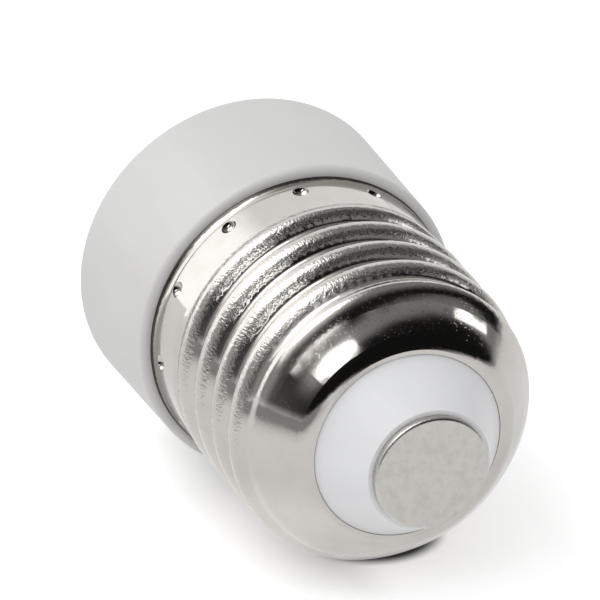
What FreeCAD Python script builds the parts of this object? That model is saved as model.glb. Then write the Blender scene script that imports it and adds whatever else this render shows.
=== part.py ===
import FreeCAD, Part
import math
import os

import Sketcher
from FreeCAD import Placement, Rotation, Vector

# Lamp socket adapter: a large screw cap on the outside, a small screw socket on the inside.
# It stands on the rim of its socket mouth. The Z axis is the screw axis and points to the end contact.
# Lengths are in millimetres and angles in degrees. Heights are measured from the mouth rim.

doc = FreeCAD.newDocument("lamp_socket_adapter")
sheet = doc.addObject("Spreadsheet::Sheet", "sizes")

SIZES = [
    # Moulded housing
    ("shoulder_height", 13.5, "length of the body that stays in view"),
    ("shoulder_step", 0.98, "how far the body's shoulder stands out of the shell's band"),
    ("body_taper", 0.15, "how much wider the body's radius is at its mouth"),
    ("edge_radius", 0.6, "round on the body's outer edges"),
    ("mouth_chamfer", 0.8, "lead-in on the socket mouth"),
    ("mouth_bore_dia", 18.4, "opening that the small lamp cap goes through"),
    ("mouth_depth", 4.2, "depth of that opening down to the seat of the sleeve's rim"),
    ("ledge_rise", 6.0, "ledge that the sleeve's flange rests on, above the shoulder"),
    ("well_dia", 9.2, "round well under the sleeve, for the spring contact"),
    ("well_depth", 3.4, "depth of the well below the ledge"),
    ("floor_thickness", 2.6, "plastic behind the well"),
    ("skirt_length", 4.4, "thick start of the spigot, which the shell is crimped to"),
    ("pocket_depth", 3.5, "wiring space between the floor and the spigot's end"),
    ("core_start", 6.5, "height at which the moulded-out ring begins"),
    ("core_share", 0.34, "share of the wall round the sleeve that the ring takes"),
    ("rib_width", 1.2, "width of a rib across the moulded-out ring"),
    ("rib_count", 4.0, "ribs across the moulded-out ring"),
    # Screw shell, rolled from sheet. Its heights are measured from its rim
    ("sheet_wall", 0.3, "sheet thickness of the screw shell and the sleeve"),
    ("band_inset", 0.23, "how far the smooth band lies inside the thread's crests"),
    ("rim_flare", 0.2, "how far the rim stands out of the band"),
    ("rim_flare_length", 0.9, "height of the flared rim"),
    ("screw_dia", 26.2, "large thread over its crests"),
    ("screw_pitch", 3.629, "large thread, seven turns to 25.4 mm"),
    ("screw_depth", 0.9, "large thread, crest to root"),
    ("screw_flank", 39.3, "steepest slope of the large thread's flank"),
    ("screw_crest_share", 0.75, "share of the two radii that the crest has"),
    ("screw_phase", 22.8, "height of a crest on the +X side"),
    ("run_in_start", 4.4, "height at which the large thread starts to rise"),
    ("run_in_length", 1.7, "height over which it reaches full depth"),
    ("run_out_start", 17.0, "height at which it starts to fade"),
    ("run_out_length", 3.3, "height over which it has faded"),
    ("dome_start", 17.5, "height at which the rounded end begins"),
    ("dome_height", 5.9, "height of the rounded end"),
    ("dome_corner_radius", 2.2, "tight round after the last thread"),
    ("dome_corner_share", 0.85, "where the tight round ends, as a share of the mean slope"),
    ("lip_curl_radius", 2.3, "rounding that turns the sheet in at the lip"),
    ("lip_curl_slope", 75.0, "slope at which the curl meets the lip, in degrees"),
    ("lip_dia", 16.4, "opening of the lip round the insulator"),
    ("lip_width", 0.4, "flat face of the lip"),
    ("dimple_count", 12.0, "crimp dimples round the band"),
    ("dimple_height", 1.8, "height of the dimples' centres"),
    ("dimple_radius", 0.75, "radius of the punch"),
    ("dimple_depth", 0.45, "how far a dimple is pressed in"),
    ("dimple_turn", 3.5, "angle of the first dimple"),
    # Cap insulator and end contact
    ("nose_length", 4.55, "how far the insulator stands out of the lip"),
    ("nose_dia", 10.7, "insulator at its end"),
    ("insulator_wall", 1.6, "plastic of the insulator's skirt"),
    ("contact_dia", 9.9, "end contact"),
    ("contact_thickness", 0.75, "head of the end contact"),
    ("contact_edge", 0.22, "round on the contact's edge"),
    ("shank_dia", 2.4, "pin of the end contact"),
    ("shank_length", 6.4, "pin of the end contact"),
    # Small threaded sleeve
    ("sleeve_dia", 14.1, "small thread in the sleeve, over its roots"),
    ("sleeve_pitch", 2.822, "small thread, nine turns to 25.4 mm"),
    ("sleeve_depth", 0.8, "small thread, crest to root"),
    ("sleeve_flank", 50.0, "steepest slope of the small thread's flank"),
    ("sleeve_crest_share", 0.5, "share of the two radii that the crest has"),
    ("sleeve_plain", 1.4, "plain wall at each end of the sleeve"),
    ("sleeve_fade", 1.2, "height over which the small thread rises and fades"),
    ("sleeve_rim_width", 1.2, "rim that the sleeve hangs by"),
    ("sleeve_flange_bore", 9.0, "hole in the sleeve's bottom flange"),
    # Spring contact and rivets
    ("strip_width", 3.4, "spring contact strip"),
    ("strip_thickness", 0.35, "spring contact strip"),
    ("strip_rise", 3.1, "how far the strip's crown stands over the well floor"),
    ("strip_bend_radius", 0.9, "inside bends of the strip"),
    ("strip_foot_length", 3.1, "flat foot under the rivet"),
    ("strip_slope_run", 2.06, "length of the strip's slope, along the floor"),
    ("strip_crown_length", 1.98, "crown of the strip, with half of its bends"),
    ("strip_tip_run", 0.9, "length of the turned-down tip, along the floor"),
    ("strip_tip_drop", 1.24, "how far the tip turns back towards the floor"),
    ("tongue_rivet_offset", 2.6, "rivet of the spring contact, off the axis"),
    ("sleeve_rivet_inset", 1.3, "rivets of the sleeve, from the sleeve's wall to their middle"),
    ("rivet_dia", 1.4, "shanks of the three rivets"),
    ("rivet_head_dia", 2.3, "rivet heads"),
    ("rivet_head_thickness", 0.3, "rivet heads"),
    ("rivet_bore_dia", 0.8, "hollow end of a rivet"),
    ("rivet_bore_depth", 1.6, "hollow end of a rivet"),
    # Leads
    ("core_dia", 0.6, "bare copper of the centre lead"),
    ("jacket_dia", 1.3, "insulation of the centre lead"),
    ("side_wire_dia", 0.5, "bare wire from the sleeve to the shell"),
    ("lead_bend_radius", 3.2, "bends of the centre lead"),
    ("side_bend_radius", 0.9, "bends of the side wire"),
    ("solder_height", 0.8, "cone of solder on a rivet's end"),
    ("notch_width", 0.9, "groove and notch for the side wire"),
    # Clearances
    ("fit_gap", 0.07, "radial gap between pressed or pushed pieces"),
    ("root_gap", 0.2, "radial gap between the spigot and the thread's roots"),
    ("hole_gap", 0.05, "radial gap round rivets, pins and wires"),
]

for row, (alias, value, meaning) in enumerate(SIZES, start=1):
    sheet.set("A%d" % row, alias)
    sheet.set("B%d" % row, str(value))
    sheet.set("C%d" % row, meaning)
    sheet.setAlias("B%d" % row, alias)
doc.recompute()


def size(alias):
    """The value of one driving dimension."""
    return float(sheet.get(alias))


def bound(text):
    """An expression on the sheet from plain aliases, such as "mouth_dia / 2"."""
    words = []
    for word in text.replace("(", " ( ").replace(")", " ) ").split():
        words.append("sizes." + word if word[0].isalpha() else word)
    return " ".join(words)


def number(text):
    """The present value of such an expression."""
    return float(sheet.evalExpression(bound(text)))


# Expressions that several pieces share
BAND = "screw_dia / 2 - band_inset"
SHOULDER = BAND + " + shoulder_step"
MOUTH = SHOULDER + " + body_taper"
BODY_WALL_IN = BAND + " - sheet_wall - fit_gap"
SPIGOT = "screw_dia / 2 - screw_depth - sheet_wall - root_gap"
SLEEVE_OUT = "sleeve_dia / 2 + sheet_wall"
SLEEVE_BORE = SLEEVE_OUT + " + fit_gap"
SLEEVE_RIM = "sleeve_dia / 2 + sleeve_rim_width"
SPIGOT_WALL = "( 1 - core_share ) / 2 * ( " + SPIGOT + " - ( " + SLEEVE_BORE + " ) )"
POCKET = SPIGOT + " - " + SPIGOT_WALL
TUBE_OUT = SLEEVE_BORE + " + " + SPIGOT_WALL
SKIRT_TOP = "shoulder_height + skirt_length"
GROOVE_FOOT = SKIRT_TOP + " + " + BODY_WALL_IN + " - ( " + SPIGOT + " )"
LEDGE = "shoulder_height + ledge_rise"
WELL_FLOOR = LEDGE + " + well_depth"
FLOOR_BACK = WELL_FLOOR + " + floor_thickness"
SPIGOT_TOP = FLOOR_BACK + " + pocket_depth"
DIMPLES = "shoulder_height + dimple_height"
DOME = "shoulder_height + dome_start"
LIP = DOME + " + dome_height"
SLEEVE_RIVETS = "( sleeve_dia / 2 - sleeve_rivet_inset )"
NOSE_SEAT = LIP + " + nose_length"
STUD_BORE = "shank_dia / 2 + hole_gap"
GROOVE_LOW = DIMPLES + " - dimple_radius - sheet_wall"
GROOVE_HIGH = DIMPLES + " + dimple_radius + sheet_wall"
CORE_X = "-1 * shank_dia / 2 - hole_gap - core_dia / 2"


# Helpers for bodies that are turned or cut


def origin_plane(body, role):
    return [item for item in body.Origin.OriginFeatures if item.Role == role][0]


def closed_profile(body, name, points, plane="XZ_Plane"):
    """A sketch of straight lines through points, each coordinate bound to the sheet."""
    sketch = body.newObject("Sketcher::SketchObject", name)
    sketch.AttachmentSupport = (origin_plane(body, plane), [""])
    sketch.MapMode = "FlatFace"
    places = [Vector(number(across), number(up), 0) for across, up in points]
    count = len(points)
    for index in range(count):
        line = Part.LineSegment(places[index], places[(index + 1) % count])
        sketch.addGeometry(line, False)
    for index in range(count):
        after = (index + 1) % count
        sketch.addConstraint(Sketcher.Constraint("Coincident", index, 2, after, 1))
    for index, (across, up) in enumerate(points):
        for kind, text, value in (
            ("DistanceX", across, places[index].x),
            ("DistanceY", up, places[index].y),
        ):
            place = sketch.addConstraint(Sketcher.Constraint(kind, -1, 1, index, 1, value))
            sketch.setExpression("Constraints[%d]" % place, bound(text))
    return sketch


def turned(body, name, points):
    """A solid of revolution about the Z axis."""
    sketch = closed_profile(body, name + "_section", points)
    feature = body.newObject("PartDesign::Revolution", name)
    feature.Profile = sketch
    feature.ReferenceAxis = (sketch, ["V_Axis"])
    feature.Angle = 360.0
    body.Tip = feature
    doc.recompute()
    return feature


def circle_edges(shape, radius, height):
    """Names of the round edges about the Z axis with this radius and height."""
    names = []
    for index, edge in enumerate(shape.Edges, start=1):
        curve = edge.Curve
        if curve.TypeId != "Part::GeomCircle":
            continue
        if abs(curve.Radius - radius) < 1e-4 and abs(curve.Center.z - height) < 1e-4:
            names.append("Edge%d" % index)
    return names


def rounded(body, base, name, radius, places, kind="PartDesign::Fillet"):
    """Fillets or chamfers on the round edges at the given places."""
    edges = []
    for across, up in places:
        edges += circle_edges(base.Shape, number(across), number(up))
    feature = body.newObject(kind, name)
    feature.Base = (base, edges)
    field = "Radius" if kind == "PartDesign::Fillet" else "Size"
    feature.setExpression(field, bound(radius))
    body.Tip = feature
    doc.recompute()
    return feature


def drilled(body, name, radius, spots):
    """Round holes along Z through the whole body, at spots in the XY plane."""
    sketch = body.newObject("Sketcher::SketchObject", name + "_centres")
    sketch.AttachmentSupport = (origin_plane(body, "XY_Plane"), [""])
    sketch.MapMode = "FlatFace"
    for index, (across, along) in enumerate(spots):
        centre = Vector(number(across), number(along), 0)
        sketch.addGeometry(Part.Circle(centre, Vector(0, 0, 1), number(radius)), False)
        constraints = (
            ("Radius", (index, number(radius)), radius),
            ("DistanceX", (-1, 1, index, 3, centre.x), across),
            ("DistanceY", (-1, 1, index, 3, centre.y), along),
        )
        for kind, values, text in constraints:
            place = sketch.addConstraint(Sketcher.Constraint(kind, *values))
            sketch.setExpression("Constraints[%d]" % place, bound(text))
    feature = body.newObject("PartDesign::Pocket", name)
    feature.Profile = sketch
    feature.Type = "ThroughAll"
    feature.Midplane = True
    body.Tip = feature
    doc.recompute()
    return feature


def boxed(body, name, length, width, height, place, kind="PartDesign::SubtractiveBox"):
    """A box cut from the body or added to it, its low corner at place."""
    feature = body.newObject(kind, name)
    for field, text in (("Length", length), ("Width", width), ("Height", height)):
        feature.setExpression(field, bound(text))
    for axis, text in zip("xyz", place):
        feature.setExpression(".AttachmentOffset.Base." + axis, bound(text))
    feature.AttachmentSupport = (origin_plane(body, "XY_Plane"), [""])
    feature.MapMode = "FlatFace"
    body.Tip = feature
    doc.recompute()
    return feature


def new_body(name):
    body = doc.addObject("PartDesign::Body", name)
    body.Label = name
    return body


# Rolled threads


def thread_drop(pitch, depth, flank, crest_radius_share, wall):
    """How far a rolled thread lies under its crest, as a function of height along the pitch.

    The crest and the root are arcs, joined by a straight flank. A wall thickness moves the
    profile inwards, which takes it from the crest's radius and adds it to the root's.
    """
    slope = math.radians(flank)
    radii = (pitch / 2 * math.sin(slope) - depth * math.cos(slope)) / (1 - math.cos(slope))
    crest = radii * crest_radius_share - wall
    root = radii - crest
    crest_end = crest * math.sin(slope)
    root_start = pitch / 2 - root * math.sin(slope)

    def drop(height):
        along = abs((height + pitch / 2) % pitch - pitch / 2)
        if along <= crest_end:
            return crest - math.sqrt(crest**2 - along**2)
        if along <= root_start:
            return crest * (1 - math.cos(slope)) + (along - crest_end) * math.tan(slope)
        return depth - root + math.sqrt(root**2 - (pitch / 2 - along) ** 2)

    return drop


def ease(value):
    """Rises smoothly from 0 to 1 as value goes from 0 to 1."""
    share = min(max(value, 0.0), 1.0)
    return share * share * (3 - 2 * share)


def on_cylinder(radius, angle, height):
    return Vector(radius * math.cos(angle), radius * math.sin(angle), height)


SECTORS = 4
STEPS_AROUND = 6
ROWS_PER_SECTOR_LEAD = 4
LEVELLING_HEIGHT = 2.0
JOIN_TOLERANCE = 0.003


def spline_through(points, places, tangents=None):
    """A cubic curve through points at given parameters, with end tangents where they are known."""
    curve = Part.BSplineCurve()
    if tangents:
        first, last = tangents
        curve.interpolate(
            Points=points, Parameters=places, InitialTangent=first, FinalTangent=last, Scale=False
        )
    else:
        curve.interpolate(Points=points, Parameters=places)
    return curve


def surface_through(grid, tangents, across, along):
    """A smooth surface through rows of points: curves through the rows, then through their poles."""
    rows = [spline_through(points, across, ends) for points, ends in zip(grid, tangents)]
    row_poles = [row.getPoles() for row in rows]
    columns = [spline_through(list(poles), along) for poles in zip(*row_poles)]
    surface = Part.BSplineSurface()
    surface.buildFromPolesMultsKnots(
        [column.getPoles() for column in columns],
        rows[0].getMultiplicities(),
        columns[0].getMultiplicities(),
        rows[0].getKnots(),
        columns[0].getKnots(),
        False,
        False,
        3,
        3,
    )
    return surface


def thread_top(low, high, pitch):
    """The first height from high upwards that is a whole number of rows above low."""
    step = pitch / (SECTORS * ROWS_PER_SECTOR_LEAD)
    return low + math.ceil((high - low) / step) * step


def helical_faces(radius_at, low, top, pitch, start_angle):
    """One face a sector of a wall with a helical thread.

    Rows of points climb with the thread and lie level at both ends, so that the faces join
    turned ones there. A sector climbs by a whole number of rows, so that neighbours have the
    same points on their seam.
    """
    step = pitch / (SECTORS * ROWS_PER_SECTOR_LEAD)
    count = round((top - low) / step)
    levelling = LEVELLING_HEIGHT / step
    turns = [2 * math.pi / SECTORS * index / STEPS_AROUND for index in range(STEPS_AROUND + 1)]
    nudge = 1e-4

    def spot(first, row, turn):
        climb = ease(row / levelling) * ease((count - row) / levelling)
        height = low + step * row + climb * pitch * turn / (2 * math.pi)
        return on_cylinder(radius_at(first + turn, height), first + turn, height)

    def tangent(first, row, turn):
        return (spot(first, row, turn + nudge) - spot(first, row, turn - nudge)) * (0.5 / nudge)

    faces = []
    for sector in range(SECTORS):
        first = start_angle + 2 * math.pi * sector / SECTORS
        rows = range(count + 1)
        grid = [[spot(first, row, turn) for turn in turns] for row in rows]
        ends = [(tangent(first, row, turns[0]), tangent(first, row, turns[-1])) for row in rows]
        heights = [step * row for row in rows]
        faces.append(surface_through(grid, ends, turns, heights).toShape())
    return faces


def turned_faces(edges, start_angle):
    """Edges in the XZ plane turned about Z, in the same sectors as the helical faces."""
    faces = []
    span = 360 / SECTORS
    for sector in range(SECTORS):
        for edge in edges:
            begin = edge.copy()
            begin.rotate(Vector(), Vector(0, 0, 1), math.degrees(start_angle) + span * sector)
            faces.append(begin.revolve(Vector(), Vector(0, 0, 1), span))
    return faces


def at(radius, height):
    return Vector(radius, 0, height)


def closed_solid(faces):
    """A solid from faces that meet edge to edge, with its outside outwards."""
    joined = faces[0].generalFuse(faces[1:], JOIN_TOLERANCE)[0]
    joined.sewShape()
    solid = Part.Solid(joined.Shells[0])
    if solid.Volume < 0:
        solid.reverse()
    return solid


def only_solid(shape):
    """The solid of a boolean's result, which has to be a single one."""
    if len(shape.Solids) != 1:
        raise RuntimeError("a boolean left %d solids" % len(shape.Solids))
    return shape.Solids[0]


# Housing: one moulding with the visible body, the spigot, the sleeve's tube and the floor


def make_housing():
    body = new_body("housing")
    section = [
        ("mouth_bore_dia / 2", "0"),
        (MOUTH, "0"),
        (SHOULDER, "shoulder_height"),
        (BODY_WALL_IN, "shoulder_height"),
        (BODY_WALL_IN, GROOVE_LOW),
        (BODY_WALL_IN + " - dimple_depth", GROOVE_LOW),
        (BODY_WALL_IN + " - dimple_depth", GROOVE_HIGH),
        (BODY_WALL_IN, GROOVE_HIGH),
        (BODY_WALL_IN, SKIRT_TOP),
        (SPIGOT, GROOVE_FOOT),
        (SPIGOT, SPIGOT_TOP),
        (POCKET, SPIGOT_TOP),
        (POCKET, "core_start"),
        (TUBE_OUT, "core_start"),
        (TUBE_OUT, FLOOR_BACK),
        ("0", FLOOR_BACK),
        ("0", WELL_FLOOR),
        ("well_dia / 2", WELL_FLOOR),
        ("well_dia / 2", LEDGE),
        (SLEEVE_BORE, LEDGE),
        (SLEEVE_BORE, "mouth_depth"),
        (SLEEVE_RIM + " + hole_gap", "mouth_depth"),
        (SLEEVE_RIM + " + hole_gap", "mouth_depth - sheet_wall"),
        ("mouth_bore_dia / 2", "mouth_depth - sheet_wall"),
    ]
    feature = turned(body, "housing_turned", section)
    feature = boxed(
        body,
        "rib",
        POCKET + " - ( " + TUBE_OUT + " ) + 2 * rib_width",
        "rib_width",
        FLOOR_BACK + " - core_start",
        (TUBE_OUT + " - rib_width", "-1 * rib_width / 2", "core_start"),
        "PartDesign::AdditiveBox",
    )
    pattern = body.newObject("PartDesign::PolarPattern", "ribs")
    pattern.Originals = [feature]
    pattern.Axis = (body.getObject("housing_turned_section"), ["V_Axis"])
    pattern.Angle = 360.0
    pattern.setExpression("Occurrences", bound("rib_count"))
    body.Tip = pattern
    doc.recompute()
    edges = [(MOUTH, "0"), (SHOULDER, "shoulder_height")]
    feature = rounded(body, pattern, "outer_edges", "edge_radius", edges)
    mouth = [("mouth_bore_dia / 2", "0")]
    feature = rounded(body, feature, "mouth_edge", "mouth_chamfer", mouth, "PartDesign::Chamfer")
    feature = drilled(
        body,
        "rivet_holes",
        "rivet_dia / 2 + hole_gap",
        [
            ("-1 * tongue_rivet_offset", "0"),
            ("0", SLEEVE_RIVETS),
            ("0", "-1 * " + SLEEVE_RIVETS),
        ],
    )
    boxed(
        body,
        "wire_groove",
        "notch_width",
        "screw_depth + side_wire_dia",
        SPIGOT_TOP + " - ( " + GROOVE_FOOT + " ) + 1",
        ("-1 * notch_width / 2", SPIGOT + " - side_wire_dia + fit_gap", GROOVE_FOOT),
    )
    boxed(
        body,
        "wire_notch",
        "notch_width",
        SPIGOT_WALL + " * 2",
        "4 * side_wire_dia + 1",
        (
            "-1 * notch_width / 2",
            POCKET + " - " + SPIGOT_WALL + " / 2",
            SPIGOT_TOP + " - 4 * side_wire_dia",
        ),
    )
    return body


def make_cap_insulator():
    """Plastic nose of the cap. Its skirt stands on the spigot and its shoulder bears on the lip."""
    body = new_body("cap_insulator")
    skirt = SPIGOT + " - fit_gap * 4"
    skirt_end = DOME + " + dome_corner_radius / 2"
    inner_lip = LIP + " - sheet_wall"
    boss_end = LIP + " - 2 * insulator_wall"
    section = [
        (skirt, SPIGOT_TOP),
        (skirt, skirt_end),
        ("lip_dia / 2 + lip_width", inner_lip + " - lip_width * 2"),
        ("lip_dia / 2 + lip_width / 2", inner_lip + " - hole_gap"),
        ("lip_dia / 2 - hole_gap", inner_lip + " - hole_gap"),
        ("lip_dia / 2 - hole_gap", LIP),
        ("nose_dia / 2", NOSE_SEAT),
        (STUD_BORE, NOSE_SEAT),
        (STUD_BORE, boss_end),
        (STUD_BORE + " + insulator_wall", boss_end),
        (STUD_BORE + " + insulator_wall", LIP + " - insulator_wall"),
        ("lip_dia / 2 - insulator_wall", LIP + " - insulator_wall"),
        (skirt + " - insulator_wall", skirt_end + " - insulator_wall / 2"),
        (skirt + " - insulator_wall", SPIGOT_TOP),
    ]
    turned(body, "insulator_turned", section)
    boxed(
        body,
        "lead_groove",
        "core_dia + hole_gap * 2",
        "core_dia + hole_gap * 2",
        "nose_length + 2 * insulator_wall",
        (CORE_X + " - core_dia / 2 - hole_gap", "-1 * core_dia / 2 - hole_gap", boss_end),
    )
    return body


def make_end_contact():
    """Flat-headed pin pushed into the nose."""
    body = new_body("end_contact")
    tip = NOSE_SEAT + " - shank_length"
    head = NOSE_SEAT + " + contact_thickness"
    section = [
        ("0", tip),
        ("shank_dia / 4", tip),
        ("shank_dia / 2", tip + " + shank_dia / 2"),
        ("shank_dia / 2", NOSE_SEAT),
        ("contact_dia / 2", NOSE_SEAT),
        ("contact_dia / 2", head),
        ("0", head),
    ]
    feature = turned(body, "contact_turned", section)
    edge = [("contact_dia / 2", head)]
    rounded(body, feature, "contact_round", "contact_edge", edge)
    return body


def make_rivet(name, across, along, head_low, grip_end):
    """Semi-tubular rivet: a head at the mouth side, a hollow end set against the floor's back."""
    body = new_body(name)
    back = grip_end + " + rivet_head_thickness"
    section = [
        ("0", head_low),
        ("rivet_head_dia / 2", head_low),
        ("rivet_head_dia / 2", head_low + " + rivet_head_thickness"),
        ("rivet_dia / 2", head_low + " + rivet_head_thickness"),
        ("rivet_dia / 2", grip_end),
        ("rivet_head_dia / 2", grip_end),
        ("rivet_head_dia / 2", back),
        ("rivet_bore_dia / 2", back),
        ("rivet_bore_dia / 2", back + " - rivet_bore_depth"),
        ("0", back + " - rivet_bore_depth"),
    ]
    feature = turned(body, name + "_turned", section)
    rounded(body, feature, name + "_head", "rivet_head_thickness / 2", [("rivet_head_dia / 2", head_low)])
    body.setExpression(".Placement.Base.x", bound(across))
    body.setExpression(".Placement.Base.y", bound(along))
    return body


# Screw shell: sheet rolled to the large thread, flared at its rim and drawn in to a lip


def arc_place(centre, radius, slope):
    """Place on an arc of the profile where its skin has turned inwards by the slope."""
    return centre + at(math.cos(slope), math.sin(slope)) * radius


def dome_arcs(wall):
    """Centre, radius and last slope of the three arcs from the last thread to the lip, which
    meet without a crease: the tight round, the long dome and the curl at the lip."""
    crest = size("screw_dia") / 2
    start = number(DOME)
    corner = size("dome_corner_radius")
    curl = size("lip_curl_radius")
    lip_slope = math.radians(size("lip_curl_slope"))
    lip = at(size("lip_dia") / 2 + size("lip_width"), number(LIP))
    corner_slope = size("dome_corner_share") * math.atan2(crest - lip.x, lip.z - start)
    corner_centre = at(crest - corner, start)
    corner_end = arc_place(corner_centre, corner, corner_slope)
    curl_centre = arc_place(lip, -curl, lip_slope)
    outwards = at(math.cos(corner_slope), math.sin(corner_slope))
    apart = corner_end - curl_centre
    dome = (apart.dot(apart) - curl**2) / (2 * (apart.dot(outwards) - curl))
    dome_centre = corner_end - outwards * dome
    line = curl_centre - dome_centre
    dome_slope = math.atan2(line.z, line.x)
    return [
        (corner_centre, corner - wall, corner_slope),
        (dome_centre, dome - wall, dome_slope),
        (curl_centre, curl - wall, lip_slope),
    ]


def shell_profile(wall):
    """Radius of the shell's outer skin, or of the skin that lies a wall further in, by height."""
    crest = size("screw_dia") / 2
    band = number(BAND)
    start = number(DOME)
    rise = number("shoulder_height + run_in_start")
    arcs = dome_arcs(wall)

    def radius(height):
        if height <= start:
            share = ease((height - rise) / size("run_in_length"))
            return band + (crest - band) * share - wall
        for centre, across, slope in arcs:
            if height <= arc_place(centre, across, slope).z:
                break
        return centre.x + math.sqrt(across**2 - (height - centre.z) ** 2)

    return radius


def shell_skin(wall, start_angle):
    """Faces of one skin of the screw shell, and its circles at the rim and at the lip."""
    radius = shell_profile(wall)
    drop = thread_drop(
        size("screw_pitch"),
        size("screw_depth"),
        size("screw_flank"),
        size("screw_crest_share"),
        wall,
    )
    pitch = size("screw_pitch")
    low = number("shoulder_height + run_in_start")
    fade = number("shoulder_height + run_out_start")
    high = thread_top(low, fade + size("run_out_length"), pitch)

    def threaded(angle, height):
        depth = ease((height - low) / size("run_in_length"))
        depth *= 1 - ease((height - fade) / size("run_out_length"))
        crest_height = size("screw_phase") + pitch * angle / (2 * math.pi)
        return radius(height) - depth * drop(height - crest_height)

    rim = size("shoulder_height")
    flare = size("rim_flare")
    length = size("rim_flare_length")
    flare_radius = (length**2 + flare**2) / (2 * flare) + wall
    band = radius(rim)
    flare_centre = at(band + flare_radius, rim + length)
    reach = math.asin((length) / flare_radius)
    foot = flare_centre - at(math.cos(reach), math.sin(reach)) * flare_radius
    middle = flare_centre - at(math.cos(reach / 2), math.sin(reach / 2)) * flare_radius
    top = at(band, rim + length)
    edges = [
        Part.Arc(foot, middle, top).toShape(),
        Part.makeLine(top, at(band, low)),
    ]
    lip_height = number(LIP) - wall
    dome_end = arc_place(*dome_arcs(wall)[1]).z
    heights = [high, (high + dome_end) / 2, dome_end, (dome_end + lip_height) / 2, lip_height]
    begin, dome_middle, curl_start, curl_middle, end = [
        at(radius(height), height) for height in heights
    ]
    edges.append(Part.Arc(begin, dome_middle, curl_start).toShape())
    edges.append(Part.Arc(curl_start, curl_middle, end).toShape())
    lip_edge = at(size("lip_dia") / 2, lip_height)
    edges.append(Part.makeLine(end, lip_edge))
    faces = helical_faces(threaded, low, high, pitch, start_angle)
    faces += turned_faces(edges, start_angle)
    return faces, foot, lip_edge


def make_screw_shell():
    wall = size("sheet_wall")
    dimples = int(round(size("dimple_count")))
    first = math.radians(size("dimple_turn"))
    start_angle = first + math.pi / dimples
    outer, outer_foot, outer_lip = shell_skin(0.0, start_angle)
    inner, inner_foot, inner_lip = shell_skin(wall, start_angle)
    ends = [Part.makeLine(inner_foot, outer_foot), Part.makeLine(inner_lip, outer_lip)]
    solid = closed_solid(outer + inner + turned_faces(ends, start_angle))
    punch = size("dimple_radius")
    band = number(BAND)
    middle = number(DIMPLES)
    reach = band + punch - size("dimple_depth")
    inside = Part.makeCylinder(band - wall / 2, 4 * punch, at(0, middle - 2 * punch))
    centres = [
        on_cylinder(reach, first + 2 * math.pi * index / dimples, middle)
        for index in range(dimples)
    ]
    bulges = [Part.makeSphere(punch + wall, centre).common(inside) for centre in centres]
    dents = [Part.makeSphere(punch, centre) for centre in centres]
    solid = solid.fuse(bulges).cut(dents)
    piece = doc.addObject("Part::Feature", "screw_shell")
    piece.Label = "screw_shell"
    piece.Shape = only_solid(solid)
    return piece


# Socket sleeve: sheet rolled to the small thread, with a rim to hang by and a riveted flange


def sleeve_skin(wall, start_angle, rim_height, foot_height):
    """Faces of the sleeve's inner skin, or of the skin that lies a wall further out."""
    pitch = size("sleeve_pitch")
    drop = thread_drop(
        pitch,
        size("sleeve_depth"),
        size("sleeve_flank"),
        size("sleeve_crest_share"),
        -wall,
    )
    plain = size("sleeve_dia") / 2 + wall
    low = size("mouth_depth") + size("sleeve_plain")
    end = number(LEDGE) - size("sleeve_plain")
    high = thread_top(low, end, pitch)

    def threaded(angle, height):
        depth = ease((height - low) / size("sleeve_fade"))
        depth *= ease((end - height) / size("sleeve_fade"))
        return plain - depth * drop(height - pitch * angle / (2 * math.pi))

    rim = number(SLEEVE_RIM)
    hole = size("sleeve_flange_bore") / 2
    edges = [
        Part.makeLine(at(rim, rim_height), at(plain, rim_height)),
        Part.makeLine(at(plain, rim_height), at(plain, low)),
        Part.makeLine(at(plain, high), at(plain, foot_height)),
        Part.makeLine(at(plain, foot_height), at(hole, foot_height)),
    ]
    faces = helical_faces(threaded, low, high, pitch, start_angle)
    return faces + turned_faces(edges, start_angle), at(rim, rim_height), at(hole, foot_height)


def make_socket_sleeve():
    wall = size("sheet_wall")
    rim = size("mouth_depth")
    foot = number(LEDGE)
    inner, inner_rim, inner_hole = sleeve_skin(0.0, 0.0, rim - wall, foot - wall)
    outer, outer_rim, outer_hole = sleeve_skin(wall, 0.0, rim, foot)
    ends = [Part.makeLine(inner_rim, outer_rim), Part.makeLine(inner_hole, outer_hole)]
    solid = closed_solid(inner + outer + turned_faces(ends, 0.0))
    for side in (1, -1):
        spot = Vector(0, side * number(SLEEVE_RIVETS), foot - 2 * wall)
        radius = size("rivet_dia") / 2 + size("hole_gap")
        solid = solid.cut(Part.makeCylinder(radius, 3 * wall, spot))
    piece = doc.addObject("Part::Feature", "socket_sleeve")
    piece.Label = "socket_sleeve"
    piece.Shape = only_solid(solid)
    return piece


# Strips and wires along a bent line


def bent_line(points, radius):
    """Straight runs through points, joined by tangent arcs of one radius."""
    edges = []
    last = points[0]
    for before, corner, after in zip(points, points[1:], points[2:]):
        back = (before - corner).normalize()
        ahead = (after - corner).normalize()
        half = back.getAngle(ahead) / 2
        setback = radius / math.tan(half)
        begin = corner + back * setback
        end = corner + ahead * setback
        inward = (back + ahead).normalize()
        middle = corner + inward * (radius / math.sin(half) - radius)
        edges.append(Part.makeLine(last, begin))
        edges.append(Part.Arc(begin, middle, end).toShape())
        last = end
    edges.append(Part.makeLine(last, points[-1]))
    return Part.Wire(edges)


def swept(name, line, section):
    """A solid swept along a bent line, kept as a path, a section and their sweep."""
    path = doc.addObject("Part::Feature", name + "_path")
    path.Shape = line
    feature = doc.addObject("Part::Sweep", name + "_sweep")
    feature.Sections = [section]
    edges = ["Edge%d" % index for index in range(1, len(line.Edges) + 1)]
    feature.Spine = (path, edges)
    feature.Solid = True
    feature.Frenet = False
    doc.recompute()
    return feature


def round_section(name, diameter, place, direction):
    section = doc.addObject("Part::Circle", name)
    section.setExpression("Radius", bound(diameter + " / 2"))
    section.Placement = Placement(place, Rotation(Vector(0, 0, 1), direction))
    return section


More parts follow.
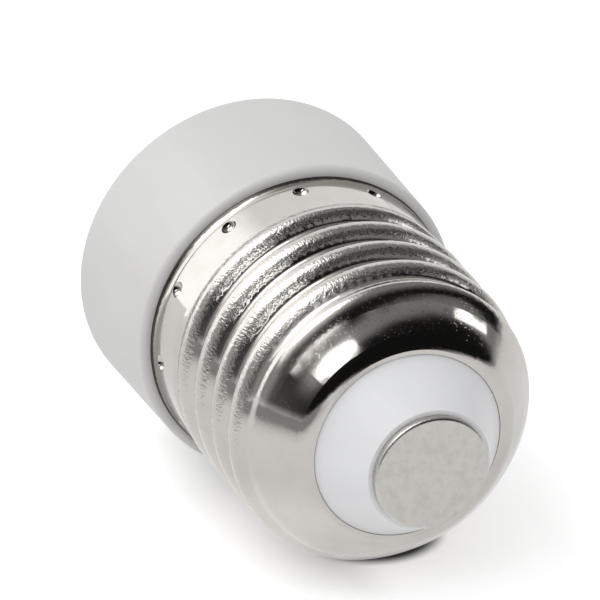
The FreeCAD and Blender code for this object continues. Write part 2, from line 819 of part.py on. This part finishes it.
def make_wire(name, points, radius, diameter):
    line = bent_line(points, radius)
    section = round_section(name + "_section", diameter, points[0], points[1] - points[0])
    piece = swept(name, line, section)
    piece.Label = name
    return piece


def make_jacket(name, points, radius, outside, inside):
    line = bent_line(points, radius)
    direction = points[1] - points[0]
    outer = swept(name + "_outer", line, round_section(name + "_outer_section", outside, points[0], direction))
    inner = swept(name + "_inner", line, round_section(name + "_inner_section", inside, points[0], direction))
    piece = doc.addObject("Part::Cut", name)
    piece.Base = outer
    piece.Tool = inner
    piece.Label = name
    return piece


def make_contact_tongue():
    """Bent spring strip: a riveted foot, a rise to the crown and a turned-down tip."""
    half = size("strip_thickness") / 2
    floor = number(WELL_FLOOR)
    foot_start = -size("tongue_rivet_offset") - size("strip_foot_length") / 2
    foot_end = foot_start + size("strip_foot_length")
    crown = floor - size("strip_rise") + half
    crown_start = foot_end + size("strip_slope_run")
    crown_end = crown_start + size("strip_crown_length")
    points = [
        Vector(foot_start, 0, floor - half),
        Vector(foot_end, 0, floor - half),
        Vector(crown_start, 0, crown),
        Vector(crown_end, 0, crown),
        Vector(crown_end + size("strip_tip_run"), 0, crown + size("strip_tip_drop")),
    ]
    line = bent_line(points, size("strip_bend_radius"))
    section = doc.addObject("Part::Plane", "contact_tongue_section")
    section.setExpression("Length", bound("strip_thickness"))
    section.setExpression("Width", bound("strip_width"))
    corner = points[0] + Vector(0, -size("strip_width") / 2, half)
    section.Placement = Placement(corner, Rotation(Vector(0, 1, 0), 90))
    strip = swept("contact_tongue", line, section)
    hole = doc.addObject("Part::Cylinder", "contact_tongue_hole")
    hole.setExpression("Radius", bound("rivet_dia / 2 + hole_gap"))
    hole.setExpression("Height", bound("strip_thickness * 3"))
    hole.setExpression(".Placement.Base.x", bound("-1 * tongue_rivet_offset"))
    hole.setExpression(".Placement.Base.z", bound(WELL_FLOOR + " - strip_thickness * 2"))
    piece = doc.addObject("Part::Cut", "contact_tongue")
    piece.Base = strip
    piece.Tool = hole
    piece.Label = "contact_tongue"
    return piece


def make_solder(name, across, along, wire_dia):
    """Cone of solder round a wire, on the hollow end of a rivet."""
    body = new_body(name)
    base = FLOOR_BACK + " + rivet_head_thickness"
    section = [
        (wire_dia + " / 2", base),
        ("rivet_head_dia / 2 - hole_gap", base),
        (wire_dia + " / 2 + hole_gap", base + " + solder_height"),
        (wire_dia + " / 2", base + " + solder_height"),
    ]
    turned(body, name + "_turned", section)
    body.setExpression(".Placement.Base.x", bound(across))
    body.setExpression(".Placement.Base.y", bound(along))
    return body


def make_leads():
    back = number(FLOOR_BACK) + size("rivet_head_thickness")
    bore_end = back - size("rivet_bore_depth") + size("hole_gap")
    rivet_x = -size("tongue_rivet_offset")
    nose_x = number(CORE_X)
    bend = size("lead_bend_radius")
    entry = number(LIP) - 2 * size("insulator_wall")
    core_points = [
        Vector(rivet_x, 0, bore_end),
        Vector(rivet_x, 0, back + 2 * size("solder_height")),
        Vector(nose_x, 0, entry - size("jacket_dia")),
        Vector(nose_x, 0, number(NOSE_SEAT) - size("hole_gap")),
    ]
    core = make_wire("centre_lead_core", core_points, bend, "core_dia")
    jacket_points = list(core_points)
    jacket_points[0] = Vector(rivet_x, 0, back + size("solder_height") + size("hole_gap"))
    jacket_points[-1] = Vector(nose_x, 0, entry - size("hole_gap"))
    jacket = make_jacket(
        "centre_lead_jacket", jacket_points, bend, "jacket_dia", "( core_dia + hole_gap )"
    )
    rivet_y = number(SLEEVE_RIVETS)
    groove_y = number(SPIGOT) - size("side_wire_dia") / 2 + size("fit_gap") * 2
    over = number(SPIGOT_TOP) - 2 * size("side_wire_dia")
    foot = number(SKIRT_TOP) + size("side_wire_dia") * 3
    side_points = [
        Vector(0, rivet_y, bore_end),
        Vector(0, rivet_y, over),
        Vector(0, groove_y, over),
        Vector(0, groove_y, foot),
    ]
    side = make_wire("side_lead", side_points, size("side_bend_radius"), "side_wire_dia")
    return [core, jacket, side]


def check_and_export(pieces):
    """Stops on a failed object or a shape that is not one sound solid, then writes the files."""
    doc.recompute()
    for item in doc.Objects:
        for word in ("Invalid", "Error"):
            if word in item.State:
                raise RuntimeError("%s is in state %s" % (item.Label, item.State))
    for piece in pieces:
        shape = piece.Shape
        if shape.isNull() or not shape.isValid() or len(shape.Solids) != 1:
            raise RuntimeError("%s has no sound solid" % piece.Label)
    os.makedirs("parts", exist_ok=True)
    for piece in pieces:
        piece.Shape.exportStep(os.path.join("parts", piece.Label + ".step"))
        box = piece.Shape.BoundBox
        print("%-22s %8.2f mm3  z %6.2f to %6.2f" % (piece.Label, piece.Shape.Volume, box.ZMin, box.ZMax))


pieces = [
    make_housing(),
    make_cap_insulator(),
    make_end_contact(),
    make_screw_shell(),
    make_socket_sleeve(),
    make_contact_tongue(),
    make_rivet(
        "tongue_rivet",
        "-1 * tongue_rivet_offset",
        "0",
        WELL_FLOOR + " - strip_thickness - rivet_head_thickness",
        FLOOR_BACK,
    ),
    make_rivet(
        "sleeve_lead_rivet",
        "0",
        SLEEVE_RIVETS,
        LEDGE + " - sheet_wall - rivet_head_thickness",
        FLOOR_BACK,
    ),
    make_rivet(
        "sleeve_plain_rivet",
        "0",
        "-1 * " + SLEEVE_RIVETS,
        LEDGE + " - sheet_wall - rivet_head_thickness",
        FLOOR_BACK,
    ),
    make_solder("centre_solder", "-1 * tongue_rivet_offset", "0", "core_dia"),
    make_solder("side_solder", "0", SLEEVE_RIVETS, "side_wire_dia"),
]
pieces += make_leads()
check_and_export(pieces)
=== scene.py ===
import math

import bpy
from mathutils import Matrix, Vector


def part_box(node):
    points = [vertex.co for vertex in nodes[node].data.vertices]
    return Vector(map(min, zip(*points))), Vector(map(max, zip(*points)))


MM = 0.001

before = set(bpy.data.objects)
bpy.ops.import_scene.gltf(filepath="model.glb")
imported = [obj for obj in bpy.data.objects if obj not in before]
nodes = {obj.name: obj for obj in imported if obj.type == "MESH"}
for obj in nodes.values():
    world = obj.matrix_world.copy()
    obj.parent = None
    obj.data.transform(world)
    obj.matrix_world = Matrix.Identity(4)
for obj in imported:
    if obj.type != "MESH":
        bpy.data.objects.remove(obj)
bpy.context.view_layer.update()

# The threads, in millimetres from the mouth rim
SHELL_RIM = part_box("screw_shell")[0].z / MM
SCREW_PITCH = 3.629
CREST_HEIGHT = 22.8
THREAD_LOW = 17.6
THREAD_HIGH = 33.0
SLEEVE_PITCH = 2.822
SLEEVE_CREST = 0.0
SLEEVE_LOW = 5.0
SLEEVE_HIGH = 19.0

# The sleeve gets no painted rim shade: this puts the dark rim below all of it
SLEEVE_RIM = -1.0

# How strong the marks of the thread rolls are, and how deep a bump of 1 goes
SHELL_MARKS = 4.8
SLEEVE_MARKS = 1.0
PLATE_RELIEF = 0.012 * MM
MOULD_RELIEF = 0.012 * MM
GRAIN_RELIEF = 0.01 * MM

# Colours, each with the one that it drifts to
BODY_WHITE = ((0.735, 0.73, 0.715, 1), (0.70, 0.695, 0.68, 1))
NOSE_WHITE = ((0.92, 0.925, 0.945, 1), (0.90, 0.905, 0.925, 1))
JACKET_WHITE = ((0.7, 0.7, 0.68, 1), (0.64, 0.64, 0.62, 1))
NICKEL = ((0.615, 0.592, 0.562, 1), (0.575, 0.548, 0.512, 1))
CONTACT = ((0.63, 0.61, 0.58, 1), (0.58, 0.56, 0.53, 1))
BRONZE = ((0.72, 0.50, 0.28, 1), (0.52, 0.34, 0.18, 1))
BRASS = ((0.80, 0.62, 0.33, 1), (0.62, 0.46, 0.22, 1))
SOLDER = ((0.60, 0.60, 0.61, 1), (0.42, 0.42, 0.43, 1))
COPPER = ((0.85, 0.48, 0.30, 1), (0.60, 0.30, 0.18, 1))
# Painted shade: the dark colour of the band along the shell's rim
RIM_SHADE_COLOUR = (0.10, 0.092, 0.085, 1)
BLACK = (0, 0, 0, 1)
WHITE = (1, 1, 1, 1)

# How the photograph looks at the adapter
AXIS_TILT = math.radians(35.2)
AXIS_BEARING = math.radians(48.7)
FACING_ANGLE = math.radians(7.0)
CAMERA_DISTANCE = 2030 * MM
SENSOR_WIDTH = 36.0
IMAGE_WIDTH = 600
PIXELS_PER_MM = 12.2186
AIM_HEIGHT = 21 * MM
AIM_RIGHT = 2.682 * MM
AIM_DOWN = 4.901 * MM

# The table and the light on it
LOOK_DOWN = math.radians(25.2)
SKY_LIGHT = 0.62
TABLE_WHITE = 0.49
TABLE_COLOUR = (0.85, 0.85, 0.85, 1)
TABLE_GAP = 0.01 * MM
TABLE_SIZE = 4.0
ROOM_RADIUS = 1.2
LAMP_DISTANCE = 0.9

# The painted shade under the adapter, in the table's colour and its own light: a line on the
# table, the distances from it between which the painted shade ends, and the paler painted shade to
# the left of it
SHADE_MIDDLE = 20.25 * MM
SHADE_HALF_LENGTH = 6.25 * MM
SHADE_OFFSET = 1.2 * MM
SHADE_REACH = (4.6 * MM, 6.4 * MM)
SHADE_COLOUR = (0.10, 0.10, 0.10, 1)
LEFT_SHADE_REACH = (16 * MM, 4 * MM)
LEFT_SHADE_SIDE = (1 * MM, 5 * MM)
LEFT_SHADE = 0.5

# Painted reflection: what reflections show of the table is its own light, more of it beside the
# adapter, and less light and a darker colour far away at the front left
MIRRORED_WHITE = 0.18
BESIDE_WHITE = 0.27
BESIDE_REACH = (26 * MM, 8 * MM)
FAR_WHITE = 0.15
FAR_REACH = (50 * MM, 150 * MM)
FAR_LEFT = (60 * MM, -20 * MM)
FAR_FRONT = (20 * MM, -60 * MM)
FAR_COLOUR = (0.30, 0.30, 0.30, 1)

# Directions in the room, round from the camera's side to the right and up, in degrees
OPEN_SIDE = (43, 41)
BEHIND = (-143, 17)
RIGHTWARDS = (126, 3)
GLOW = (-105, 50)

# Inputs and output of the node that mixes colours
COLOUR_A = 6
COLOUR_B = 7
MIXED_COLOUR = 2


class Socket:
    """A shader value that is written into maths like a number."""

    def __init__(self, tree, link):
        self.tree = tree
        self.link = link

    def _math(self, operation, *values):
        return self.tree.add("ShaderNodeMath", {"operation": operation}, values)

    def __add__(self, other):
        return self._math("ADD", self, other)

    def __radd__(self, other):
        return self._math("ADD", other, self)

    def __sub__(self, other):
        return self._math("SUBTRACT", self, other)

    def __rsub__(self, other):
        return self._math("SUBTRACT", other, self)

    def __mul__(self, other):
        return self._math("MULTIPLY", self, other)

    def __rmul__(self, other):
        return self._math("MULTIPLY", other, self)

    def __truediv__(self, other):
        return self._math("DIVIDE", self, other)

    def __rtruediv__(self, other):
        return self._math("DIVIDE", other, self)

    def __pow__(self, other):
        return self._math("POWER", self, other)

    def over(self, edge, softness):
        """0 below the edge and 1 above it, with a soft step between."""
        return self.tree.step(self, edge - softness, edge + softness)

    def between(self, low, high, softness):
        return self.over(low, softness) * (1 - self.over(high, softness))

    def also(self, name):
        """Another output of the same node."""
        return Socket(self.tree, self.link.node.outputs[name])


class Shading:
    """The nodes of a material or of the world, built from code."""

    def __init__(self, owner):
        owner.use_nodes = True
        self.nodes = owner.node_tree.nodes
        self.links = owner.node_tree.links

    def add(self, kind, settings=None, values=(), output=0):
        node = self.nodes.new(kind)
        for name, setting in (settings or {}).items():
            setattr(node, name, setting)
        pairs = values.items() if isinstance(values, dict) else enumerate(values)
        for name, value in pairs:
            self.feed(node.inputs[name], value)
        return Socket(self, node.outputs[output])

    def feed(self, socket, value):
        if isinstance(value, Socket):
            self.links.new(value.link, socket)
        else:
            socket.default_value = value

    def step(self, value, low, high):
        """0 at low and 1 at high, eased between; low may be the larger one."""
        values = {"Value": value, "From Min": low, "From Max": high}
        return self.add("ShaderNodeMapRange", {"interpolation_type": "SMOOTHSTEP"}, values)

    def spread(self, value, low, high):
        """Value from 0..1 onto low..high."""
        return value * (high - low) + low

    def noise(self, vector, scale, detail=2.0, roughness=0.5):
        values = {"Vector": vector, "Scale": scale, "Detail": detail, "Roughness": roughness}
        return self.add("ShaderNodeTexNoise", None, values)

    def mix(self, share, first, second):
        """First where the share is 0 and second where it is 1."""
        values = {"Factor": share, COLOUR_A: first, COLOUR_B: second}
        return self.add("ShaderNodeMix", {"data_type": "RGBA"}, values, MIXED_COLOUR)

    def joined(self, x, y, z):
        return self.add("ShaderNodeCombineXYZ", None, (x, y, z))

    def bump(self, height, distance):
        return self.add("ShaderNodeBump", None, {"Height": height, "Distance": distance})


class Finish(Shading):
    """A material and its nodes."""

    def __init__(self, name):
        self.material = bpy.data.materials.new(name)
        super().__init__(self.material)
        self.shader = self.nodes["Principled BSDF"]
        self.position = self.add("ShaderNodeTexCoord", output="Object")

    def set(self, **values):
        for name, value in values.items():
            self.feed(self.shader.inputs[name.replace("_", " ")], value)

    def show(self, surface):
        self.feed(self.nodes["Material Output"].inputs["Surface"], surface)

    def parts(self):
        """X, Y and Z of the place on the object, in metres."""
        x = self.add("ShaderNodeSeparateXYZ", None, (self.position,), "X")
        return x, x.also("Y"), x.also("Z")


def wear(name, finish):
    """Gives a CAD piece its finish."""
    slots = nodes[name].data.materials
    slots.clear()
    slots.append(finish.material)


def round_axis(finish):
    """Turns round the adapter's axis, from -0.5 to 0.5, and the height in millimetres."""
    x, y, z = finish.parts()
    angle = finish.add("ShaderNodeMath", {"operation": "ARCTAN2"}, (y, x))
    return angle / math.tau, z / MM


def from_crest(finish, angle, height, pitch, crest_height):
    """Distance from the nearest thread crest, in turns: 0 on it and 0.5 in the valley."""
    turns = (height - crest_height) / pitch - angle
    part = finish.add("ShaderNodeMath", {"operation": "FRACT"}, (turns + 0.5,))
    return finish.add("ShaderNodeMath", {"operation": "ABSOLUTE"}, (part - 0.5,))


def moulded_white(name, colours, roughness):
    """Satin moulded plastic: cloudy flow marks, a fine skin and a little depth."""
    colour, shade = colours
    finish = Finish(name)
    x, y, z = finish.parts()
    flow = finish.noise(finish.joined(x, y, z * 0.4), 150.0, 3.0)
    skin = finish.noise(finish.position, 2600.0, 1.0)
    waves = finish.noise(finish.position, 320.0, 1.0)
    finish.set(
        Base_Color=finish.mix(finish.step(flow, 0.3, 0.7), shade, colour),
        Roughness=finish.spread(finish.step(flow, 0.25, 0.75), roughness - 0.05, roughness + 0.05),
        Normal=finish.bump(skin * 0.25 + waves, MOULD_RELIEF),
        Subsurface_Weight=0.25,
        Subsurface_Radius=(1.0, 0.95, 0.9),
        Subsurface_Scale=0.6 * MM,
    )
    return finish


def rolled_nickel(name, rim, pitch, crest_height, low, high, marks_depth):
    """Bright plate over rolled sheet: marks of the thread rolls on the crests, fine pits, a slow
    unevenness, and painted shade: a dark band along the rim, where it meets the body."""
    finish = Finish(name)
    x, y, z = finish.parts()
    angle, height = round_axis(finish)
    crest = from_crest(finish, angle, height, pitch, crest_height)
    threaded = finish.step(height, low, low + 1.0) * finish.step(height, high, high - 1.0)
    on_crest = finish.step(crest, 0.36, 0.24) * threaded
    marks = finish.noise(finish.joined(x, y, z * 0.55), 4500.0, 2.0, 0.6)
    patches = finish.step(finish.noise(finish.position, 230.0, 2.0), 0.15, 0.35)
    rolled = on_crest * patches
    pits = finish.step(finish.noise(finish.position, 5200.0, 0.0), 0.70, 0.80)
    slow = finish.noise(finish.joined(x, y, z * 0.5), 420.0, 1.0)
    relief = (marks - 0.5) * rolled * marks_depth + pits * 0.15 + slow * 0.9
    tarnish = finish.step(finish.noise(finish.position, 240.0, 4.0, 0.6), 0.35, 0.75)
    plated = finish.mix(tarnish, *NICKEL)
    speckle = finish.noise(finish.position, 2600.0, 2.0)
    # Painted shade: a dark band with a speckled edge, from the rim up about 0.3 mm, in the crease
    # where the rim meets the body
    painted_rim_shade = finish.step(height + (speckle - 0.5) * 0.3, rim + 0.42, rim + 0.26)
    finish.set(
        Base_Color=finish.mix(painted_rim_shade, plated, RIM_SHADE_COLOUR),
        Metallic=1.0,
        Roughness=finish.spread(tarnish, 0.06, 0.11) + rolled * 0.05 + painted_rim_shade * 0.15,
        Normal=finish.bump(relief, PLATE_RELIEF),
    )
    return finish


def contact_metal():
    """Satin plate with a grain too fine to follow and a few soft stains."""
    finish = Finish("contact_metal")
    grain = finish.noise(finish.position, 6500.0, 2.0)
    stains = finish.step(finish.noise(finish.position, 900.0, 5.0, 0.75), 0.38, 0.68)
    finish.set(
        Base_Color=finish.mix(stains, *CONTACT),
        Metallic=1.0,
        Roughness=finish.spread(stains, 0.30, 0.40),
        Normal=finish.bump(grain, GRAIN_RELIEF),
    )
    return finish


def plain_metal(name, colours, roughness):
    """Small metal piece with a drawn grain and dull spots."""
    colour, dull = colours
    finish = Finish(name)
    spots = finish.noise(finish.position, 900.0, 3.0)
    grain = finish.noise(finish.position, 4200.0, 2.0)
    finish.set(
        Base_Color=finish.mix(finish.step(spots, 0.35, 0.7), colour, dull),
        Metallic=1.0,
        Roughness=finish.spread(spots, roughness, roughness + 0.15),
        Normal=finish.bump(grain, GRAIN_RELIEF),
    )
    return finish


def place_camera():
    """Stands the camera where the photograph was taken from."""
    tilt = AXIS_TILT
    bearing = AXIS_BEARING
    axis = Vector(
        (math.sin(tilt) * math.cos(bearing), math.sin(tilt) * math.sin(bearing), -math.cos(tilt))
    )
    side = Vector((math.sin(bearing), -math.cos(bearing), 0))
    facing = axis.cross(side)
    outward = Vector((math.cos(FACING_ANGLE), math.sin(FACING_ANGLE), 0))
    sideways = Vector((-outward.y, outward.x, 0))

    def to_world(right, down, away):
        seen = Vector((right, down, away))
        height = Vector((0, 0, 1)) * seen.dot(axis)
        return height + outward * seen.dot(facing) - sideways * seen.dot(side)

    aim = Vector((0, 0, AIM_HEIGHT))
    place = aim + to_world(-AIM_RIGHT, -AIM_DOWN, -CAMERA_DISTANCE)
    camera = bpy.data.cameras.new("camera")
    camera.sensor_width = SENSOR_WIDTH
    camera.lens = PIXELS_PER_MM / MM * CAMERA_DISTANCE * SENSOR_WIDTH / IMAGE_WIDTH
    camera.clip_start = 0.05
    camera.clip_end = 50.0
    stand = bpy.data.objects.new("camera", camera)
    turn = Matrix((to_world(1, 0, 0), to_world(0, -1, 0), to_world(0, 0, -1))).transposed()
    stand.matrix_world = Matrix.Translation(place) @ turn.to_4x4()
    bpy.context.scene.collection.objects.link(stand)
    bpy.context.scene.camera = stand
    return to_world


def table_axes(to_world):
    """Right, away from the camera and up, as the table lies that carries the adapter."""
    right = to_world(1, 0, 0)
    back = to_world(0, -math.sin(LOOK_DOWN), math.cos(LOOK_DOWN))
    up = to_world(0, -math.cos(LOOK_DOWN), -math.sin(LOOK_DOWN))
    return Matrix((right, back, up)).transposed()


def bearing(azimuth, elevation):
    """A direction over the table: its angle round from the camera's side, to the right, and up."""
    turn = math.radians(azimuth)
    rise = math.radians(elevation)
    flat = math.cos(rise)
    return Vector((math.sin(turn) * flat, -math.cos(turn) * flat, math.sin(rise)))


def reach(parts, direction):
    """How far a place lies along a direction."""
    x, y, z = parts
    return x * direction.x + y * direction.y + z * direction.z


def ray_kinds(shading):
    """1 for rays from the camera, from a gloss and through glass, and 0 for light on things."""
    camera = shading.add("ShaderNodeLightPath", output="Is Camera Ray")
    return camera, camera.also("Is Glossy Ray"), camera.also("Is Transmission Ray")


def lay_table(axes):
    """The white table under the adapter, which can't be seen from below. The shade under the
    adapter is painted into its colour and its own light, and what reflections show of it is
    painted too.
    """
    up = axes.col[2]
    lowest = min(vertex.co.dot(up) for node in nodes.values() for vertex in node.data.vertices)
    bpy.ops.mesh.primitive_plane_add(size=TABLE_SIZE, location=up * (lowest - TABLE_GAP))
    table = bpy.context.object
    table.name = "table"
    table.rotation_euler = axes.to_euler()
    lie = axes.transposed() @ Vector((0, 0, 1))
    finish = Finish("table_white")
    x, y, _ = finish.parts()
    along = x * lie.x + y * lie.y - SHADE_MIDDLE
    lengthwise = finish.add("ShaderNodeMath", {"operation": "ABSOLUTE"}, (along,))
    beyond_end = lengthwise - SHADE_HALF_LENGTH
    beyond = finish.add("ShaderNodeMath", {"operation": "MAXIMUM"}, (beyond_end, 0.0))
    across = x * lie.y - y * lie.x + SHADE_OFFSET
    distance = (beyond * beyond + across * across) ** 0.5
    # Painted shadow: near the line the table's own light fades out and its colour turns dark, with
    # a paler painted shade to the left
    open_table = finish.step(distance, *SHADE_REACH)
    left_shade = finish.step(distance, *LEFT_SHADE_REACH) * finish.step(across, *LEFT_SHADE_SIDE)
    beside_it = finish.step(distance, *BESIDE_REACH)
    camera_ray, glossy_ray, glass_ray = ray_kinds(finish)
    far = finish.step(distance, *FAR_REACH) * finish.step(x, *FAR_LEFT)
    far = far * finish.step(y, *FAR_FRONT)
    painted_shade_white = finish.mix(open_table, SHADE_COLOUR, TABLE_COLOUR)
    own_white = (camera_ray + glass_ray) * open_table * (1 - left_shade * LEFT_SHADE) * TABLE_WHITE
    # Painted reflection: glossy rays see the table glow, more beside the adapter and less far away
    # at the front left, where its colour is darker too
    mirrored = MIRRORED_WHITE + beside_it * BESIDE_WHITE - far * FAR_WHITE
    own_white = own_white + glossy_ray * mirrored
    finish.set(
        Base_Color=finish.mix(far * glossy_ray, painted_shade_white, FAR_COLOUR),
        Roughness=1.0,
        Specular_IOR_Level=0.0,
        Emission_Color=finish.mix(own_white, BLACK, WHITE),
        Emission_Strength=1.0,
    )
    underside = finish.add("ShaderNodeNewGeometry", output="Backfacing")
    clear = finish.add("ShaderNodeBsdfTransparent")
    top = Socket(finish, finish.shader.outputs[0])
    finish.show(finish.add("ShaderNodeMixShader", None, (underside, top, clear)))
    table.data.materials.append(finish.material)


def hang_lamp(axes, name, first, last, width, brightness):
    """A soft oval lamp between two directions, with the brightness of its face. Its power is its
    brightness times its area, times pi for the half room that it shines into."""
    middle = Vector((0, 0, AIM_HEIGHT))
    facing = (axes @ (bearing(*first) + bearing(*last))).normalized()
    along = axes @ (bearing(*last) - bearing(*first))
    along = (along - facing * along.dot(facing)).normalized()
    half_angle = bearing(*first).angle(bearing(*last)) / 2
    lamp = bpy.data.lights.new(name, "AREA")
    lamp.shape = "ELLIPSE"
    lamp.size = 2 * LAMP_DISTANCE * math.tan(half_angle)
    lamp.size_y = width
    area = math.pi * lamp.size * lamp.size_y / 4
    lamp.energy = brightness * math.pi * area
    holder = bpy.data.objects.new(name, lamp)
    turn = Matrix((along, facing.cross(along), facing)).transposed()
    holder.matrix_world = Matrix.Translation(middle + facing * LAMP_DISTANCE) @ turn.to_4x4()
    holder.visible_camera = False
    bpy.context.scene.collection.objects.link(holder)


def raise_room(axes):
    """Painted reflections: a glowing sphere, the darker room round the table, which only
    reflections show.
    """
    bpy.ops.mesh.primitive_uv_sphere_add(segments=64, ring_count=32, radius=ROOM_RADIUS)
    room = bpy.context.object
    room.name = "room"
    room.location = (0, 0, AIM_HEIGHT)
    room.rotation_euler = axes.to_euler()
    for ray in ("camera", "diffuse", "shadow", "transmission", "volume_scatter"):
        setattr(room, "visible_" + ray, False)
    finish = Finish("room_dark")
    place = [part / ROOM_RADIUS for part in finish.parts()]
    right, back, up = place
    open_side = finish.step(reach(place, bearing(*OPEN_SIDE)), -0.05, 0.10)
    low_left = finish.step(up, 0.56, 0.40) * finish.step(back, 0.34, 0.14)
    dark = 1 - (1 - open_side) * (1 - low_left)
    behind = reach(place, bearing(*BEHIND))
    rightwards = reach(place, bearing(*RIGHTWARDS))
    # Painted reflection: a pale arc in the dark part of the room
    pale_arc = behind.between(-0.14, -0.04, 0.03) * finish.step(rightwards, -0.97, -0.80)
    pale_arc_light = finish.step(rightwards, -0.1, -0.4) * 0.12 + 0.25
    lamp_glow = finish.step(reach(place, bearing(*GLOW)), 0.74, 0.95) * finish.step(up, 0.36, 0.56)
    back_wall = finish.step(behind, 0.02, 0.30) * 0.25
    left_wall = finish.step(right, -0.55, -0.85) * 0.09
    horizon = finish.step(up, 0.09, -0.03) * 0.45
    level = 0.008 + back_wall + left_wall + pale_arc * pale_arc_light + lamp_glow * 0.9 + horizon
    # Painted reflection: the bright part of the room, brighter still to the left
    backdrop = 1.0 + finish.step(right, -0.35, -0.6) * 0.60
    bright = dark * level + (1 - dark) * backdrop
    finish.show(finish.add("ShaderNodeEmission", None, {"Strength": bright}))
    finish.material.cycles.emission_sampling = "NONE"
    room.data.materials.append(finish.material)


def light_studio(axes):
    """A white surround, less bright as a light than as it is seen, and four lamps."""
    world = bpy.data.worlds.new("studio")
    sky = Shading(world)
    camera_ray, glossy_ray, glass_ray = ray_kinds(sky)
    seen = sky.step(camera_ray + glossy_ray + glass_ray, 0.0, 1.0)
    background = sky.nodes["Background"]
    sky.feed(background.inputs["Color"], WHITE)
    sky.feed(background.inputs["Strength"], seen * (1 - SKY_LIGHT) + SKY_LIGHT)
    bpy.context.scene.world = world
    bpy.context.scene.view_settings.view_transform = "Standard"
    hang_lamp(axes, "big_softbox", (-138, 51), (-68, 51), 0.70, 1.85)
    hang_lamp(axes, "inner_strip", (-35, 31), (-5, 58.5), 0.080, 3.9)
    hang_lamp(axes, "outer_strip", (-47, 24), (-9, 66), 0.045, 1.8)
    hang_lamp(axes, "right_strip", (106, 33), (118, 10), 0.034, 2.2)


def dress():
    """Gives each piece its finish."""
    wear("housing", moulded_white("body_plastic", BODY_WHITE, 0.36))
    wear("cap_insulator", moulded_white("nose_plastic", NOSE_WHITE, 0.32))
    wear("end_contact", contact_metal())
    screw = (SHELL_RIM, SCREW_PITCH, CREST_HEIGHT, THREAD_LOW, THREAD_HIGH, SHELL_MARKS)
    wear("screw_shell", rolled_nickel("shell_nickel", *screw))
    socket = (SLEEVE_RIM, SLEEVE_PITCH, SLEEVE_CREST, SLEEVE_LOW, SLEEVE_HIGH, SLEEVE_MARKS)
    wear("socket_sleeve", rolled_nickel("sleeve_nickel", *socket))
    wear("contact_tongue", plain_metal("spring_bronze", BRONZE, 0.25))
    brass = plain_metal("rivet_brass", BRASS, 0.2)
    for name in ("tongue_rivet", "sleeve_lead_rivet", "sleeve_plain_rivet"):
        wear(name, brass)
    solder = plain_metal("solder", SOLDER, 0.3)
    for name in ("centre_solder", "side_solder"):
        wear(name, solder)
    copper = plain_metal("copper_wire", COPPER, 0.25)
    for name in ("centre_lead_core", "side_lead"):
        wear(name, copper)
    wear("centre_lead_jacket", moulded_white("lead_jacket", JACKET_WHITE, 0.4))


axes = table_axes(place_camera())
lay_table(axes)
raise_room(axes)
light_studio(axes)
dress()
